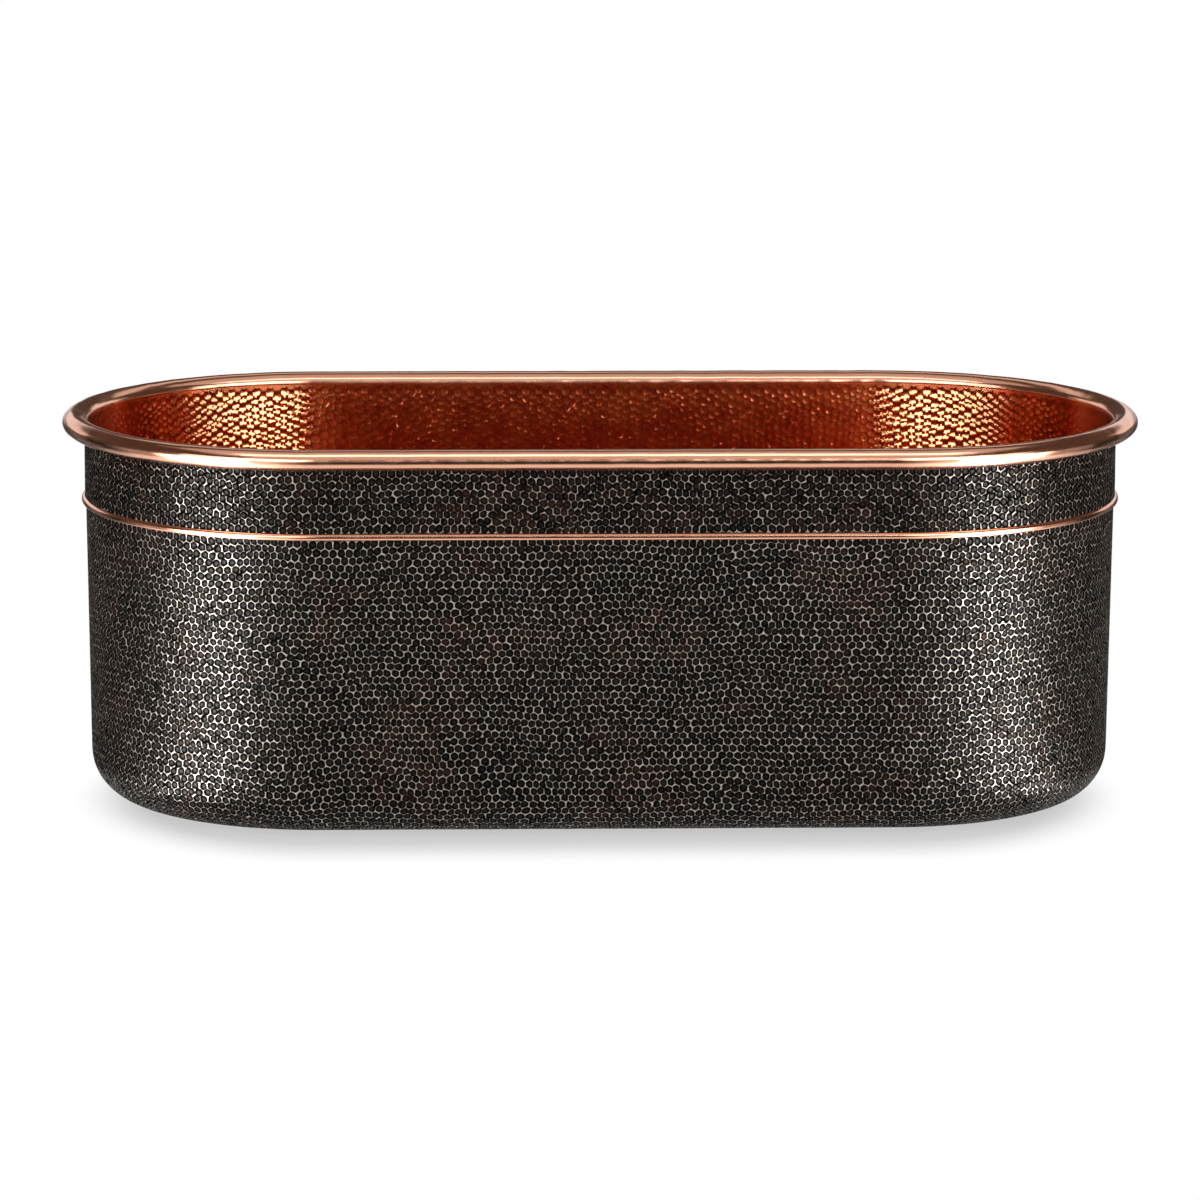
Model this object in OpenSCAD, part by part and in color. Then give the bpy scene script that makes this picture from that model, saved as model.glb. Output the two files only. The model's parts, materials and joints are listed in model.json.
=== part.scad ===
// Freestanding double-skinned copper bathtub with a racetrack plan.
// Every ring of sheet metal is one section swept along the same oval: two straight runs and two half turns.
// Origin: middle of the footprint, on the floor. +X runs along the tub, +Z is up.

/* [Overall size] */
// Length over the rim
tub_length = 1830; // [1500:10:2000]
// Width over the rim
tub_width = 866; // [780:2:960]
// Height from the floor to the top of the rim
tub_height = 672; // [600:2:760]
// Height of the flat underside of the skirt above the floor
floor_gap = 10; // [9:0.5:20]

/* [Copper sheet] */
// Thickness of the copper sheet
sheet = 1.6; // [1.2:0.1:2.4]
// Air space between the two skins where they meet under the rim
skin_gap = 2.8; // [1.5:0.1:8]

/* [Rolled rim] */
// Width of the rolled rim
rim_width = 45; // [38:1:56]
// Height of the rolled rim
rim_height = 36; // [32:1:42]
// Radius of the rim's two ends, seen in section
rim_end_radius = 14; // [12:0.5:15]
// Wall of the oval steel tube that the rim is rolled over
rim_core_wall = 2; // [1.5:0.25:3]
// Drop from the middle of the rim to the seam where the liner begins
rim_seam_drop = 1.5; // [0:0.5:4]

/* [Skirt] */
// Drop from the middle of the rim to the middle of the bead
collar_drop = 131; // [90:1:180]
// Radius of the half-round bead
bead_radius = 6.5; // [5:0.5:9]
// Slope of the skirt's wall from the vertical, in degrees
skirt_slope = 0.85; // [0.25:0.05:2.5]
// Outer radius of the skirt's bottom corner
skirt_corner_radius = 82; // [50:1:110]
// Width of the flat flange turned in under the skirt
skirt_flange = 48; // [36:1:70]

/* [Liner] */
// Height of the basin's floor above the bathroom floor, at the middle of the tub
basin_floor_height = 98; // [96:1:130]
// Slope of the basin's wall from the vertical, in degrees
basin_slope = 4; // [1:0.5:7]
// Inner radius of the basin's bottom corner
basin_corner_radius = 90; // [60:1:120]
// Fall of the basin's floor towards its centre line, in degrees
basin_fall = 1; // [0.5:0.1:1.5]

/* [Base] */
// Thickness of the base plates
plate_thickness = 2.5; // [2:0.5:4]
// Width of the frame's box section
rail_width = 40; // [32:1:50]
// Height of the frame's box section
rail_height = 60; // [50:1:64]
// Wall of the frame's box section
rail_wall = 2; // [1.5:0.25:4]
// How far the long rails run past the ends of the straight sides
rail_overrun = 78; // [40:1:90]
// From the inner edge of the skirt's flange to the middle of a long rail
rail_inset = 68; // [60:1:90]
// From a foot to the middle of the cross rail next to it
cross_inset = 80; // [50:1:120]
// Diameter of the screws that hold the skirt to the base plates
screw_diameter = 5; // [4:0.5:6]
// Width of the gap between the two base plates, where the plumbing comes up
plumbing_gap = 150; // [120:2:180]
// From the edge of a base plate at that gap to the side of the nearest cross rail
plumbing_margin = 55; // [20:1:80]

/* [Levelling feet] */
// From the end of a long rail to the middle of its foot
foot_inset = 50; // [36:1:70]
// Diameter of the foot pad
foot_pad_diameter = 50; // [42:1:60]
// Diameter of the threaded stem
foot_stem_diameter = 12; // [10:1:14]
// Height of the lock nut
lock_nut_height = 6; // [5:0.25:7]
// How far a foot can be screwed out
foot_travel = 15; // [5:1:20]

/* [Waste] */
// Diameter of the waste's flange
waste_flange_diameter = 72; // [70:1:84]
// Outer diameter of the waste's threaded body
waste_body_diameter = 47.8; // [47:0.1:49]
// Bore of the waste
waste_bore_diameter = 40; // [36:0.5:42]
// Length of the waste's body below its flange
waste_body_length = 44; // [40:1:48]
// Outer diameter of the tail pipe
tail_diameter = 38.1; // [32:0.1:40]
// Wall of the tail pipe
tail_wall = 1.2; // [1:0.1:2]
// Height of the tail pipe's open end above the floor
tail_end_height = 4; // [2:0.5:8]
// How far the stopper lifts
stopper_lift = 10; // [6:0.5:12]
// Diameter of the stopper's cap
stopper_diameter = 56; // [54:1:58]

/* [Hidden] */
$fn = 144;

// Small allowances
cut = 1;             // how far a cutting solid runs past what it cuts
slide_fit = 0.05;    // radial play of a shaft in its bore
foot_play = 0.4;     // between the foot pad and the lock nut when the foot is screwed in
collar_play = 0.2;   // solder gap between the skirt and the collar lapped round it

// Colours
patina = "#33281f";
polished_copper = "#c98463";
liner_copper = "#b0502b";
bare_steel = "#8d9093";
zinc = "#b4b8bb";
black_rubber = "#222222";

// The oval that every section follows
half_run = (tub_length - tub_width) / 2;
rim_path = tub_width / 2 - rim_width / 2;
rim_z = tub_height - rim_height / 2;
seam_z = rim_z - rim_seam_drop;
bead_z = rim_z - collar_drop;

// Wall radii, measured from the oval's spine
liner_in = tub_width / 2 - rim_width;
liner_out = liner_in + sheet;
skirt_in = liner_out + skin_gap;
skirt_out = skirt_in + sheet / cos(skirt_slope);
collar_in = skirt_out + collar_play;
collar_out = collar_in + sheet;
bead_inset = 1;      // how far the bead's centre lies inside the collar's face

// Heights of the base, from the floor up
plate_bottom = floor_gap + sheet;
plate_top = plate_bottom + plate_thickness;
rail_top = plate_top + rail_height;
basin_z = basin_floor_height;

// Corner centre of a tub section, from its wall, its floor and its corner radius
function corner_centre(top_r, top_z, floor_z, slope, fall, radius) =
    let (
        run = top_r * cos(slope) - (top_z - floor_z - radius / cos(fall)) * sin(slope) - radius,
        x = run / (cos(slope) - tan(fall) * sin(slope))
    )
    [x, floor_z + x * tan(fall) + radius / cos(fall)];

skirt_corner = corner_centre(skirt_out, bead_z, floor_gap, skirt_slope, 0, skirt_corner_radius);
basin_corner = corner_centre(liner_in, seam_z, basin_z, basin_slope, basin_fall, basin_corner_radius);
flange_in = skirt_corner[0] - skirt_flange;

// Base plates, screws and pads
plate_inset = 3;            // from the end of the skirt's flat flange to a plate's edge
screw_path = flange_in + skirt_flange / 2;
screw_play = 0.25;          // round a screw in the flange
screw_end = 4;              // how far a screw's end stands above a plate
pad_length = 120;

// Frame: half-lengths and places, from the middle of the tub
rail_end = half_run + rail_overrun;
rail_y = flange_in - rail_inset;
foot_x = rail_end - foot_inset;
outer_cross_x = foot_x - cross_inset;
inner_cross_x = plumbing_gap / 2 + plumbing_margin + rail_width / 2;
cross_places = [-outer_cross_x, -inner_cross_x, inner_cross_x, outer_cross_x];

// Feet
foot_places = [for (across = [-1, 1], along = [-1, 1]) [along * foot_x, across * rail_y, 0]];
foot_pad_height = plate_top - lock_nut_height - foot_play;
foot_nut_flats = 1.6 * foot_stem_diameter;
weld_nut_height = 10;
stem_end = 12;              // thread left above the weld nut when the foot is screwed out
foot_stem_length = foot_play + lock_nut_height + rail_wall + weld_nut_height + foot_travel + stem_end;
lock_nut_hole_radius = foot_nut_flats / sqrt(3) + 6;
stem_hole_play = 0.5;
stem_disc_z = 2;
stem_disc_height = 2.5;
pad_hex_height = 3;
pad_chamfer = 1.5;

// Waste and stopper, from the basin's floor down
flange_thickness = 3.5;
flange_chamfer = 1.5;
upper_seal_thickness = 1.5;
recess_depth = flange_thickness + upper_seal_thickness;
recess_radius = waste_flange_diameter / 2 + 1.5;
recess_z = basin_z - recess_depth;
waste_hole_radius = waste_body_diameter / 2 + 0.5;
flange_bottom = basin_z - flange_thickness;
waste_body_end = flange_bottom - waste_body_length;
lower_seal_thickness = 4;
lower_seal_z = recess_z - sheet - lower_seal_thickness;
slip_washer_thickness = 1;
back_nut_height = 10;
back_nut_step = 6;
back_nut_z = lower_seal_z - slip_washer_thickness - back_nut_height;
tail_seal_thickness = 2;
tail_top = waste_body_end - tail_seal_thickness;
tail_flange_thickness = 1.5;
tail_flange_radius = waste_body_diameter / 2 - 1;
tail_nut_height = 15;
tail_nut_lip = 4;
tail_nut_wall = 6;
tail_nut_play = 1;
seat_depth = 1.5;
seat_z = basin_z - seat_depth;
seat_play = 1;
cross_bar_width = 4;
cross_bar_height = 8;
cross_bar_z = seat_z - 21;
guide_shank_radius = 6;
guide_collar_radius = 8;
guide_collar_height = 4;
stopper_pin_radius = 4;
stopper_seal_thickness = 2;
cap_z = seat_z + stopper_seal_thickness;
cap_edge = 1.5;
dome_height = 4;
knob_radius = 8;
knob_height = 5;
knob_top = cap_z + cap_edge + dome_height + 12;
pin_grip = 8;               // pin left in the guide when the stopper is lifted
pin_end_z = cross_bar_z + cross_bar_height + guide_collar_height - stopper_lift - pin_grip;

// Sweeps a section, drawn as distance from the spine and height, round the whole oval
module sweep_oval() {
    for (turn = [0, 180])
        rotate([0, 0, turn]) {
            translate([half_run, 0, 0])
                rotate([0, 0, -90])
                rotate_extrude(angle = 180)
                children();
            translate([-half_run, 0, 0])
                rotate([90, 0, 90])
                linear_extrude(2 * half_run)
                children();
        }
}

// Filled half section of a tub: sloping wall, round corner, floor that falls to the centre line
module tub_section(corner, slope, fall, radius, top_z) {
    wall_foot = corner + radius * [cos(slope), -sin(slope)];
    floor_end = corner + radius * [sin(fall), -cos(fall)];
    top_r = wall_foot[0] + (top_z - wall_foot[1]) * tan(slope);
    centre_z = floor_end[1] - floor_end[0] * tan(fall);
    polygon([[0, centre_z], floor_end, corner, wall_foot, [top_r, top_z], [0, top_z]]);
    translate(corner)
        circle(radius);
}

// Oval section of the rim, drawn with two end arcs and two flatter arcs that meet them smoothly
module rim_section(inset) {
    half_w = rim_width / 2;
    half_h = rim_height / 2;
    end_r = rim_end_radius - inset;
    end_x = half_w - rim_end_radius;
    flat_r = (end_x * end_x + half_h * half_h - rim_end_radius * rim_end_radius)
        / (2 * (half_h - rim_end_radius));
    flat_drop = flat_r - half_h;
    meet_x = end_x * (flat_r - inset) / (flat_r - rim_end_radius);
    translate([rim_path, rim_z]) {
        intersection() {
            translate([0, -flat_drop])
                circle(flat_r - inset);
            translate([0, flat_drop])
                circle(flat_r - inset);
            square([2 * meet_x, rim_height], center = true);
        }
        for (side = [-1, 1])
            translate([side * end_x, 0])
                circle(end_r);
    }
}

// Rolled copper rim: an oval roll, open below where the two skins enter it
module rim_roll() {
    color(polished_copper)
        sweep_oval()
        difference() {
            rim_section(0);
            rim_section(sheet);
            translate([liner_in - cut, rim_z - rim_height])
                square([collar_out - liner_in + cut, seam_z - rim_z + rim_height]);
        }
}

// Oval steel tube inside the roll
module rim_core() {
    color(bare_steel)
        sweep_oval()
        difference() {
            rim_section(sheet);
            rim_section(sheet + rim_core_wall);
        }
}

// Upright copper strip lapped round the top of the skirt, from the bead up into the rim
module collar_band() {
    color(patina)
        sweep_oval()
        difference() {
            translate([collar_in, bead_z])
                square([sheet, rim_z - bead_z]);
            rim_section(sheet);
        }
}

// Half-round copper bead that covers the lower edge of the collar
module bead_band() {
    color(polished_copper)
        sweep_oval()
        difference() {
            translate([collar_out - bead_inset, bead_z])
                circle(bead_radius);
            translate([liner_in, bead_z])
                square([collar_out - liner_in, bead_radius + cut]);
            tub_section(skirt_corner, skirt_slope, 0, skirt_corner_radius, bead_z);
        }
}

// Outer skin: upright behind the collar, tapered below it, turned in under the tub
module outer_skirt() {
    inner_radius = skirt_corner_radius - sheet;
    color(patina)
        difference() {
            sweep_oval()
                difference() {
                    union() {
                        tub_section(skirt_corner, skirt_slope, 0, skirt_corner_radius, bead_z);
                        translate([skirt_in, bead_z])
                            square([skirt_out - skirt_in, rim_z - bead_z]);
                    }
                    tub_section(skirt_corner, skirt_slope, 0, inner_radius, bead_z);
                    square([flange_in, floor_gap + 2 * sheet]);
                    rim_section(sheet);
                }
            at_screws()
                cylinder(h = plate_top, r = screw_diameter / 2 + screw_play);
        }
}

// Basin in one sheet, with a pressed recess for the waste in the middle of its floor
module inner_liner() {
    color(liner_copper)
        difference() {
            union() {
                sweep_oval()
                    difference() {
                        basin_section(sheet);
                        basin_section(0);
                    }
                translate([0, 0, recess_z - sheet])
                    cylinder(h = basin_z - recess_z + sheet, r1 = recess_radius + sheet,
                        r2 = recess_radius + recess_depth + sheet);
            }
            translate([0, 0, recess_z])
                cylinder(h = recess_depth + cut, r1 = recess_radius, r2 = recess_radius + recess_depth + cut);
            cylinder(h = basin_z + cut, r = waste_hole_radius);
        }
}

// Filled half section of the basin, grown outwards by the sheet or not at all
module basin_section(grow) {
    tub_section(basin_corner, basin_slope, basin_fall, basin_corner_radius + grow, seam_z);
}

// Oval with straight sides, as a flat outline
module oval_outline(radius) {
    square([2 * half_run, 2 * radius], center = true);
    for (side = [-1, 1])
        translate([side * half_run, 0])
            circle(radius);
}

// Puts its children at each screw along the middle of the skirt's flange
module at_screws() {
    for (side = [-1, 1]) {
        for (step = [-1 : 2 / 3 : 1])
            translate([step * half_run, side * screw_path])
                children();
        for (turn = [-50, 0, 50])
            translate([side * half_run, 0])
                rotate(turn + (side < 0 ? 180 : 0))
                translate([screw_path, 0])
                children();
    }
}

// Puts its children at each foot
module at_feet() {
    for (place = foot_places)
        translate(place)
            children();
}

// Hexagonal nut, standing on z = 0
module hex_nut(across_flats, height, bore_radius) {
    difference() {
        cylinder(h = height, r = across_flats / sqrt(3), $fn = 6);
        translate([0, 0, -cut])
            cylinder(h = height + 2 * cut, r = bore_radius);
    }
}

// Flat ring, standing on z = 0
module ring(outer_radius, inner_radius, height) {
    difference() {
        cylinder(h = height, r = outer_radius);
        translate([0, 0, -cut])
            cylinder(h = height + 2 * cut, r = inner_radius);
    }
}

// Steel plate that closes one half of the skirt below, up to the plumbing gap, and carries the frame
module base_plate(side) {
    color(zinc)
        translate([0, 0, plate_bottom])
        linear_extrude(plate_thickness)
        difference() {
            oval_outline(skirt_corner[0] - plate_inset);
            translate([side * (plumbing_gap - tub_length) / 2, 0])
                square([tub_length, tub_width], center = true);
            at_feet()
                circle(lock_nut_hole_radius);
            at_screws()
                circle(screw_diameter / 2 + slide_fit);
        }
}

// Pan-head screws up through the flange into the plates
module skirt_screws() {
    head_radius = screw_diameter;
    head_height = 0.6 * screw_diameter;
    color(zinc)
        at_screws() {
            translate([0, 0, floor_gap - head_height])
                cylinder(h = head_height, r = head_radius);
            translate([0, 0, floor_gap - head_height])
                cylinder(h = head_height + sheet + plate_thickness + screw_end, d = screw_diameter);
        }
}

// Long rail of the frame, with a hole in its lower wall for each foot's stem
module long_rail(side) {
    color(bare_steel)
        difference() {
            translate([-rail_end, side * rail_y - rail_width / 2, plate_top])
                cube([2 * rail_end, rail_width, rail_height]);
            translate([-rail_end - cut, side * rail_y - rail_width / 2 + rail_wall, plate_top + rail_wall])
                cube([2 * rail_end + 2 * cut, rail_width - 2 * rail_wall, rail_height - 2 * rail_wall]);
            at_feet()
                translate([0, 0, plate_top - cut])
                cylinder(h = rail_wall + 2 * cut, d = foot_stem_diameter + 2 * stem_hole_play);
        }
}

// Cross rail welded between the long rails, its middle at the given distance along the tub
module cross_rail(distance) {
    span = 2 * rail_y - rail_width;
    color(bare_steel)
        translate([distance, 0, plate_top])
        difference() {
            translate([-rail_width / 2, -span / 2, 0])
                cube([rail_width, span, rail_height]);
            translate([-rail_width / 2 + rail_wall, -span / 2 - cut, rail_wall])
                cube([rail_width - 2 * rail_wall, span + 2 * cut, rail_height - 2 * rail_wall]);
        }
}

// Rubber blocks on the frame, their tops cut to the slope of the liner's underside
module liner_pads() {
    color(black_rubber)
        difference() {
            translate([0, 0, rail_top])
                union() {
                    for (side = [-1, 1], step = [-1, 0, 1])
                        translate([step * outer_cross_x - pad_length / 2, side * rail_y - rail_width / 2, 0])
                            cube([pad_length, rail_width, rail_height]);
                    for (distance = cross_places)
                        translate([distance - rail_width / 2, -pad_length / 2, 0])
                            cube([rail_width, pad_length, rail_height]);
                }
            sweep_oval()
                basin_section(sheet);
        }
}

// Nuts welded inside the long rails, which the feet screw into
module foot_weld_nuts() {
    color(bare_steel)
        at_feet()
        translate([0, 0, plate_top + rail_wall])
        hex_nut(foot_nut_flats, weld_nut_height, foot_stem_diameter / 2 + slide_fit);
}

// Lock nuts drawn up against the underside of the rails
module foot_lock_nuts() {
    color(zinc)
        at_feet()
        translate([0, 0, plate_top - lock_nut_height])
        hex_nut(foot_nut_flats, lock_nut_height, foot_stem_diameter / 2 + slide_fit);
}

// Threaded stem of a foot, with the disc that is moulded into its pad
module foot_stem(number) {
    color(zinc)
        translate(foot_places[number - 1])
        stem_solid();
}

module stem_solid() {
    translate([0, 0, stem_disc_z])
        cylinder(h = stem_disc_height, r = foot_stem_diameter - 1);
    translate([0, 0, stem_disc_z])
        cylinder(h = foot_pad_height + foot_stem_length - stem_disc_z, d = foot_stem_diameter);
}

// Moulded foot pad: a chamfered disc with a hexagon above it for the wrench
module foot_pad(number) {
    disc_height = foot_pad_height - pad_hex_height;
    radius = foot_pad_diameter / 2;
    color(black_rubber)
        translate(foot_places[number - 1])
        difference() {
            union() {
                cylinder(h = pad_chamfer, r1 = radius - pad_chamfer, r2 = radius);
                translate([0, 0, pad_chamfer])
                    cylinder(h = disc_height - pad_chamfer, r = radius);
                translate([0, 0, disc_height])
                    cylinder(h = pad_hex_height, r = radius - pad_chamfer, $fn = 6);
            }
            stem_solid();
        }
}

// Waste: a flange with a seat for the stopper, a threaded body and a cross bar that holds the guide
module waste_flange() {
    bore = waste_bore_diameter / 2;
    color(polished_copper)
        difference() {
            union() {
                difference() {
                    union() {
                        translate([0, 0, flange_bottom])
                            cylinder(h = flange_thickness - flange_chamfer, d = waste_flange_diameter);
                        translate([0, 0, basin_z - flange_chamfer])
                            cylinder(h = flange_chamfer, r1 = waste_flange_diameter / 2,
                                r2 = waste_flange_diameter / 2 - flange_chamfer);
                        translate([0, 0, waste_body_end])
                            cylinder(h = waste_body_length + cut, d = waste_body_diameter);
                    }
                    translate([0, 0, waste_body_end - cut])
                        cylinder(h = basin_z, r = bore);
                    translate([0, 0, seat_z])
                        cylinder(h = seat_depth + cut, r = stopper_diameter / 2 + seat_play);
                }
                translate([0, 0, cross_bar_z])
                    intersection() {
                        union() {
                            for (turn = [0, 90])
                                rotate(turn)
                                    translate([-bore - cut, -cross_bar_width / 2, 0])
                                    cube([2 * bore + 2 * cut, cross_bar_width, cross_bar_height]);
                            cylinder(h = cross_bar_height, r = guide_collar_radius);
                        }
                        cylinder(h = cross_bar_height, r = bore + cut);
                    }
            }
            translate([0, 0, cross_bar_z - cut])
                cylinder(h = cross_bar_height + 2 * cut, r = guide_shank_radius);
        }
}

// Rubber seal between the flange and the floor of the recess
module waste_upper_seal() {
    color(black_rubber)
        translate([0, 0, recess_z])
        ring(waste_flange_diameter / 2 - cut, waste_body_diameter / 2, upper_seal_thickness);
}

// Rubber seal under the liner
module waste_lower_seal() {
    color(black_rubber)
        translate([0, 0, lower_seal_z])
        ring(waste_flange_diameter / 2, waste_body_diameter / 2, lower_seal_thickness);
}

// Thin washer that lets the back nut turn without dragging the seal
module waste_slip_washer() {
    color("white")
        translate([0, 0, lower_seal_z - slip_washer_thickness])
        ring(waste_flange_diameter / 2, waste_body_diameter / 2, slip_washer_thickness);
}

// Hexagonal back nut that clamps the waste to the liner
module waste_back_nut() {
    color(polished_copper)
        translate([0, 0, back_nut_z])
        hex_nut(waste_flange_diameter - back_nut_step, back_nut_height, waste_body_diameter / 2);
}

// Flanged tail pipe, open at its lower end just above the floor
module waste_tail() {
    radius = tail_diameter / 2;
    color(polished_copper)
        difference() {
            union() {
                translate([0, 0, tail_end_height])
                    cylinder(h = tail_top - tail_end_height, r = radius);
                translate([0, 0, tail_top - tail_flange_thickness])
                    cylinder(h = tail_flange_thickness, r = tail_flange_radius);
            }
            translate([0, 0, tail_end_height - cut])
                cylinder(h = tail_top - tail_end_height + 2 * cut, r = radius - tail_wall);
        }
}

// Seal between the end of the waste's body and the tail pipe's flange
module waste_tail_seal() {
    color(black_rubber)
        translate([0, 0, tail_top])
        ring(tail_flange_radius, waste_bore_diameter / 2, tail_seal_thickness);
}

// Union nut that draws the tail pipe up to the waste's body
module waste_tail_nut() {
    lip_z = tail_top - tail_flange_thickness;
    color(polished_copper)
        translate([0, 0, lip_z - tail_nut_lip])
        difference() {
            cylinder(h = tail_nut_height + tail_nut_lip, r = waste_body_diameter / 2 + tail_nut_wall,
                $fn = 8);
            translate([0, 0, tail_nut_lip])
                cylinder(h = tail_nut_height + cut, d = waste_body_diameter);
            translate([0, 0, -cut])
                cylinder(h = tail_nut_lip + 2 * cut, r = tail_diameter / 2 + tail_nut_play);
        }
}

// Bush in the cross bar that guides the stopper's pin
module stopper_guide() {
    color(bare_steel)
        difference() {
            union() {
                translate([0, 0, cross_bar_z])
                    cylinder(h = cross_bar_height, r = guide_shank_radius);
                translate([0, 0, cross_bar_z + cross_bar_height])
                    cylinder(h = guide_collar_height, r = guide_collar_radius);
            }
            translate([0, 0, cross_bar_z - cut])
                cylinder(h = cross_bar_height + guide_collar_height + 2 * cut,
                    r = stopper_pin_radius + slide_fit);
        }
}

// Domed stopper with a small pull knob, and a pin that slides in the guide
module stopper_cap() {
    radius = stopper_diameter / 2;
    dome_radius = (radius * radius + dome_height * dome_height) / (2 * dome_height);
    color(polished_copper)
        rotate_extrude()
        intersection() {
            union() {
                translate([0, cap_z])
                    square([radius, cap_edge]);
                intersection() {
                    translate([0, cap_z + cap_edge + dome_height - dome_radius])
                        circle(dome_radius);
                    translate([0, cap_z + cap_edge])
                        square([radius, dome_height]);
                }
                translate([0, pin_end_z])
                    square([stopper_pin_radius, knob_top - knob_height - pin_end_z]);
                translate([0, knob_top - knob_height])
                    square([knob_radius - knob_height / 2, knob_height]);
                translate([knob_radius - knob_height / 2, knob_top - knob_height / 2])
                    circle(knob_height / 2);
            }
            translate([0, pin_end_z - cut])
                square([radius + cut, knob_top - pin_end_z + 2 * cut]);
        }
}

// Flat seal under the stopper's cap
module stopper_seal() {
    color(black_rubber)
        translate([0, 0, seat_z])
        ring(stopper_diameter / 2 - seat_play, waste_bore_diameter / 4, stopper_seal_thickness);
}

rim_roll();
rim_core();
collar_band();
bead_band();
outer_skirt();
inner_liner();
base_plate(-1);  // base_plate_left
base_plate(1);  // base_plate_right
skirt_screws();
long_rail(-1);  // long_rail_front
long_rail(1);  // long_rail_back
cross_rail(cross_places[0]);  // cross_rail_left
cross_rail(cross_places[1]);  // cross_rail_inner_left
cross_rail(cross_places[2]);  // cross_rail_inner_right
cross_rail(cross_places[3]);  // cross_rail_right
liner_pads();
foot_weld_nuts();
foot_lock_nuts();
foot_stem(1);  // foot_stem_1
foot_stem(2);  // foot_stem_2
foot_stem(3);  // foot_stem_3
foot_stem(4);  // foot_stem_4
foot_pad(1);  // foot_pad_1
foot_pad(2);  // foot_pad_2
foot_pad(3);  // foot_pad_3
foot_pad(4);  // foot_pad_4
waste_flange();
waste_upper_seal();
waste_lower_seal();
waste_slip_washer();
waste_back_nut();
waste_tail();
waste_tail_seal();
waste_tail_nut();
stopper_guide();
stopper_cap();
stopper_seal();
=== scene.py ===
"""Looks of the freestanding copper bathtub: hammered skins as real geometry, a rolled rim and a plain studio."""

import json
import math

import bpy
import numpy as np
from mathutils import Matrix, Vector
from mathutils.geometry import delaunay_2d_cdt


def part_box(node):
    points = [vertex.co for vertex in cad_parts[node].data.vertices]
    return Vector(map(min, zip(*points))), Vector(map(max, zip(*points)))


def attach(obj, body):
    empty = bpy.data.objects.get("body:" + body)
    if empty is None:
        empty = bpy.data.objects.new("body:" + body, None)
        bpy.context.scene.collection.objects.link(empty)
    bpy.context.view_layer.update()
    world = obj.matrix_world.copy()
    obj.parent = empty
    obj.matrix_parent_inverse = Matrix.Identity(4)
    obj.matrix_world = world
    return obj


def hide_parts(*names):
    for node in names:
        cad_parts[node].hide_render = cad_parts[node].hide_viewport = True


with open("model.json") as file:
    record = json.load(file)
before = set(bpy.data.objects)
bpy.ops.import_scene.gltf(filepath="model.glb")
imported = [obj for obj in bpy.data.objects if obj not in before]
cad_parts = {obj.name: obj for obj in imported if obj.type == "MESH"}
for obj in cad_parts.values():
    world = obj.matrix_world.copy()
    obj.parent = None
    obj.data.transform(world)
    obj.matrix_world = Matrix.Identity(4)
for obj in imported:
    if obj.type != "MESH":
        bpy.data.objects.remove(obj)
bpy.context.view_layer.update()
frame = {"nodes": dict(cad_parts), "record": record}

# Sheet and hammer marks, in metres
SHEET = 0.0016
COLUMN_PITCH = 0.0128        # between neighbouring marks along a row
ROW_PITCH = 0.0118           # between rows
JITTER = 0.09                # how far a mark strays outside, as a share of the pitch
BASIN_JITTER = 0.15          # and inside, where the marks are looser
ROW_SHIFT = 0.18             # how far a row slides along itself
WANDER = 0.24                # how far whole rows and columns drift, as a share of the pitch
WANDER_LENGTH = 0.20         # wave length of that drift
WANDER_WAVES = 6             # waves that make up the drift
DENT = 0.00060               # depth of a mark in the middle, outside
BASIN_DENT = 0.00026         # inside, on the straight sides
BASIN_END_DENT = 0.00020     # inside, in the round ends
DENT_SPREAD = (0.75, 1.25)   # least and greatest depth of a mark, as a share of those
END_LEAN = 0.165             # how far the marks lean back on the flanks of the ends, as a slope
END_LEAN_SPREAD = (0.85, 1.15)
END_LEAN_LAST = 42           # degrees round the end at which the lean has died away
RING = 0.80                  # where a mark's floor turns up into the ridge, as a share of the way out
RING_LIMIT = 0.88            # the most that share may be towards a corner
SIDE_RING_LIMIT = 0.86       # and towards the middle of a ridge
HOLLOW_END = 1.08            # where a mark's hollow would reach the ridge's height, as a share of its radius
HIGHEST_LEAN = 0.6 * SHEET   # how far a leaning mark may stand out

# Forms that a box doesn't give
RIM_END_RADIUS = 0.014
BEAD_RADIUS = 0.0065
BEAD_INSET = 0.001
COLLAR_PLAY = 0.0002
SKIRT_SLOPE = math.radians(0.85)
SKIRT_CORNER = 0.082
SKIRT_FLANGE = 0.048
BASIN_SLOPE = math.radians(4)
BASIN_CORNER = 0.090
BASIN_FALL = math.radians(1)
RECESS_RADIUS = 0.0375
RECESS_DEPTH = 0.005
RECESS_LIP = RECESS_RADIUS + RECESS_DEPTH + 0.003
RECESS_EDGE = 0.0012
WASTE_HOLE = 0.0244
COLLAR_TOP = 0.62            # the collar's end below the middle of the rim, as a share of its half height
STATIONS = 900               # sections round the rim and the bead
RIM_WAVE, BEAD_WAVE = 0.00022, 0.00008

# Studio: metres, radians unless named otherwise, and strengths where 1 is white
BACKDROP_TOP = 0.02          # the world's white horizon ends here, as the sine of the height
CEILING_START = 0.05
CEILING = (0.085, 0.060, 0.048)
FLOOR_SIZE = 120
FLOOR_GLOW = 0.53            # the floor's own glow under the tub, lowered there as a painted shadow; it is 1 beyond SHADOW_END
FLOOR_CATCH = 0.5            # share of the missing glow that the floor takes from the lamps, with their shadow
SHADOW_START = -0.035        # from the collar's outside
SHADOW_END = 0.14
SHADOW_SQUEEZE = 1.25        # how much shorter the grey patch is past the ends
CAMERA_PLACE = (-0.4715, -12.294, 2.693)
CAMERA_VIEW = (0.0373, 0.9815, -0.1878)
CAMERA_LENS = 219.7          # mm, on a sensor 36 mm wide
CAMERA_SHIFT = 0.0019
CAMERA_ROLL = 0.0037
TRAY_RADIUS = 0.45
TRAY_HEIGHT = 0.002
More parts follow.
